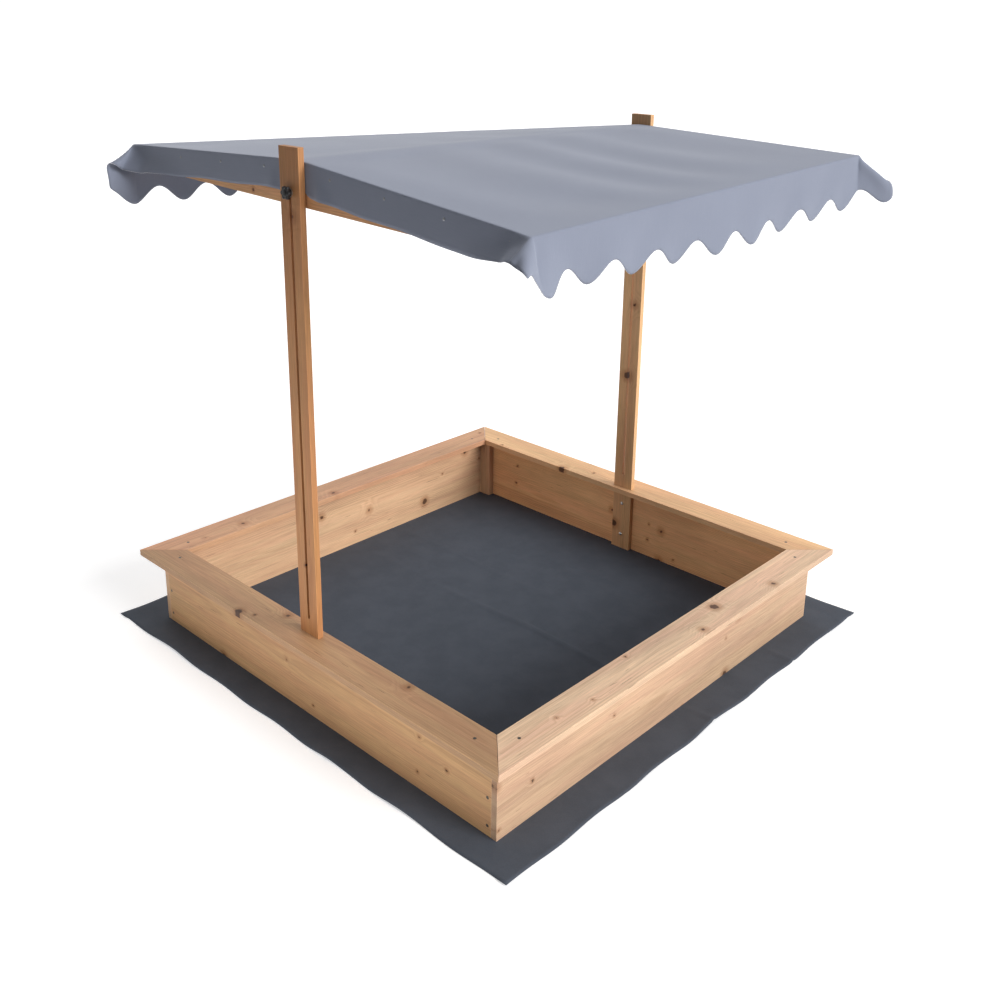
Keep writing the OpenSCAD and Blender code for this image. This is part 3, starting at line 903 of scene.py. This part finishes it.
# Draping: each round moves the free points by their speed and by gravity, draws them slightly back
# to the first lay, then restores every woven length, so the cloth folds but doesn't stretch, and
# keeps the flaps outside the rails
def drape(guess, s, t):
    flat = np.stack([s, t], -1)
    top = (np.abs(s) <= halfTop + 1e-6) & (np.abs(t) <= halfWide + 1e-6)
    flapDown = np.abs(t) - halfWide
    onRail = (flapDown > 0) & (flapDown < draping["heldFlap"]) & (np.abs(s) < draping["heldSpan"])
    atPivot = (flapDown > 0) & (np.abs(s) < draping["heldPivot"])
    weight = np.where(top | onRail | atPivot, 0.0, 1.0)[..., None]
    links = []
    for di, dj, stiff in ((1, 0, 1.0), (0, 1, 1.0), (1, 1, draping["diagonal"]), (1, -1, draping["diagonal"]),
                          (2, 0, draping["bending"]), (0, 2, draping["bending"])):
        links += wovenLinks(flat, weight, di, dj, stiff)
    free, home = weight.reshape(-1, 1), guess.reshape(-1, 3)
    railFace = halfWide - draping["railGap"]
    flapPart = (flapDown > 0).reshape(-1) & (free[:, 0] > 0) & (np.abs(s).reshape(-1) < halfTop)
    front = flapPart & (t < 0).reshape(-1)
    rear = flapPart & ~(t < 0).reshape(-1)
    point, before = home.copy(), home.copy()
    for _ in range(draping["rounds"]):
        speed = (point - before) * draping["keptSpeed"]
        before = point.copy()
        point = point + free * speed + free * np.array([0, 0, -draping["gravity"]])
        point += free * draping["pull"] * (home - point)
        for _ in range(draping["passes"]):
            for first, second, length, firstShare, secondShare in links:
                gap = point[second] - point[first]
                distance = np.linalg.norm(gap, axis=1, keepdims=True) + 1e-12
                gap *= (distance - length) / distance
                point[first] += firstShare * gap
                point[second] -= secondShare * gap
            point[front, 1] = np.minimum(point[front, 1], -railFace)
            point[rear, 1] = np.maximum(point[rear, 1], railFace)
    return point.reshape(guess.shape)


s, t = clothGrid()
clothFlat = np.stack([s, t], -1)
points = clothGuess(s, t)
points = drape(points, s, t)
canopy = gridObject("canopy_cloth", points, clothFlat, flip=True)
smoother = canopy.modifiers.new("smooth", "SUBSURF")
smoother.levels = 1
smoother.render_levels = 1
smoother.boundary_smooth = "ALL"
thicken = canopy.modifiers.new("thickness", "SOLIDIFY")
thicken.thickness = cloth["thick"]
thicken.offset = 0
thicken.material_offset_rim = 1
thicken.use_even_offset = False

clothLook = {
    "thread": (0.232, 0.254, 0.323),
    "shadowThread": (0.196, 0.216, 0.279),
    "cutEdge": (0.60, 0.61, 0.66),
    "roughness": 0.82,
    "sheen": 0.15,
    "sheenRoughness": 0.5,
}

# The weave's shade is half threads, a quarter long slubs and a quarter slow clouds
clothMaterial, tree, shader = newMaterial("canvas")
uv = add(tree, "ShaderNodeUVMap", {"uv_map": "flat"}, {}).outputs[0]
weave = noise(tree, scaled(tree, uv, (1, 1, 0)), 1400.0, 2.0, 0.6)[0]
slub = noise(tree, scaled(tree, uv, (25, 700, 0)), 1.0, 3.0, 0.6)[0]
cloud = noise(tree, scaled(tree, uv, (1, 1, 0)), 6.0, 3.0, 0.5)[0]
share = plus(tree, times(tree, weave, 0.5), times(tree, slub, 0.25), times(tree, cloud, 0.25))
share = ramp(tree, share, 0.3, 0.7, 0, 1)
base = mixColour(tree, share, colour(clothLook["shadowThread"]), colour(clothLook["thread"]))
tree.links.new(base, shader.inputs["Base Color"])
shader.inputs["Roughness"].default_value = clothLook["roughness"]
shader.inputs["Specular IOR Level"].default_value = 0.25
shader.inputs["Sheen Weight"].default_value = clothLook["sheen"]
shader.inputs["Sheen Roughness"].default_value = clothLook["sheenRoughness"]
bump(tree, shader, plus(tree, weave, slub), 0.25, 0.0004)
edgeMaterial, _, shader = newMaterial("canvas_edge")
shader.inputs["Base Color"].default_value = colour(clothLook["cutEdge"])
shader.inputs["Roughness"].default_value = 0.9
dress(canopy, clothMaterial)
canopy.data.materials.append(edgeMaterial)
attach(canopy, "canopy")
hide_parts("canopy_fabric")

print("canopy draped")
